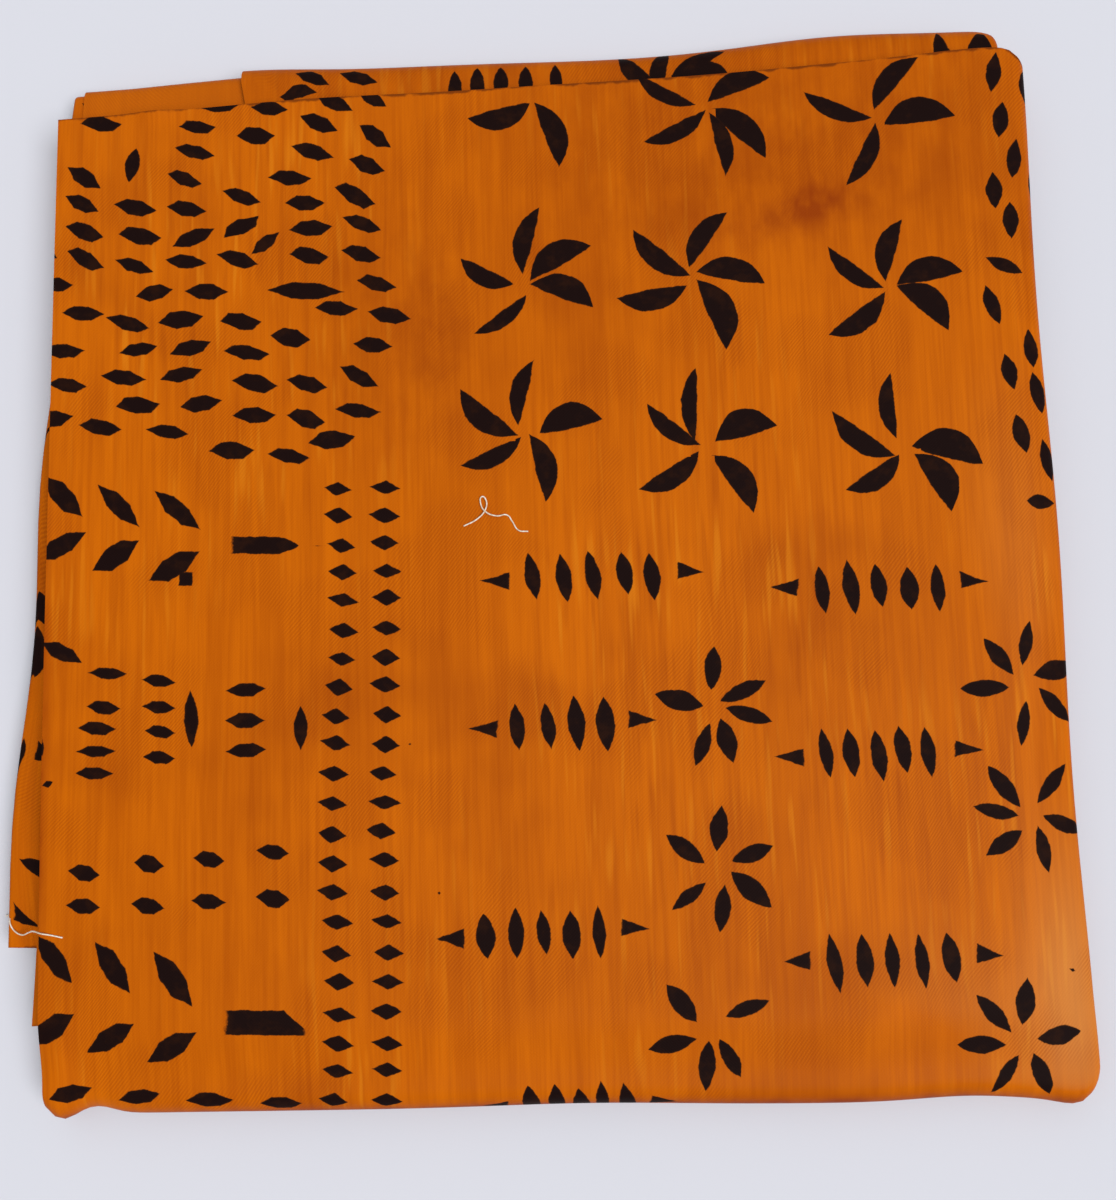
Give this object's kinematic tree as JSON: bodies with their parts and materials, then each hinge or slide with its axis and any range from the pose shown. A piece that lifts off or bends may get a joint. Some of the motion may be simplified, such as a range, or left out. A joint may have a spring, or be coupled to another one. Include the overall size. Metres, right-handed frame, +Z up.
{
  "type": "folded cotton fabric",
  "caption": "Cut length of printed cotton fabric, folded flat into a low square pile with rounded folds and uneven layered edges.",
  "frame": {"origin": "under the middle of the folded pile, on the surface that it lies on", "axes": "+Z up through the layers, +Y towards the closed far fold, +X towards the rounded right side"},
  "size_m": [0.2976, 0.3108, 0.0171],
  "materials": {
    "printed_cotton": "plain-woven cotton dyed golden rust, with dark brown hand-printed motifs and a slight sheen"
  },
  "bodies": {
    "root": {"folded_cloth": "printed_cotton"}
  },
  "joints": []
}
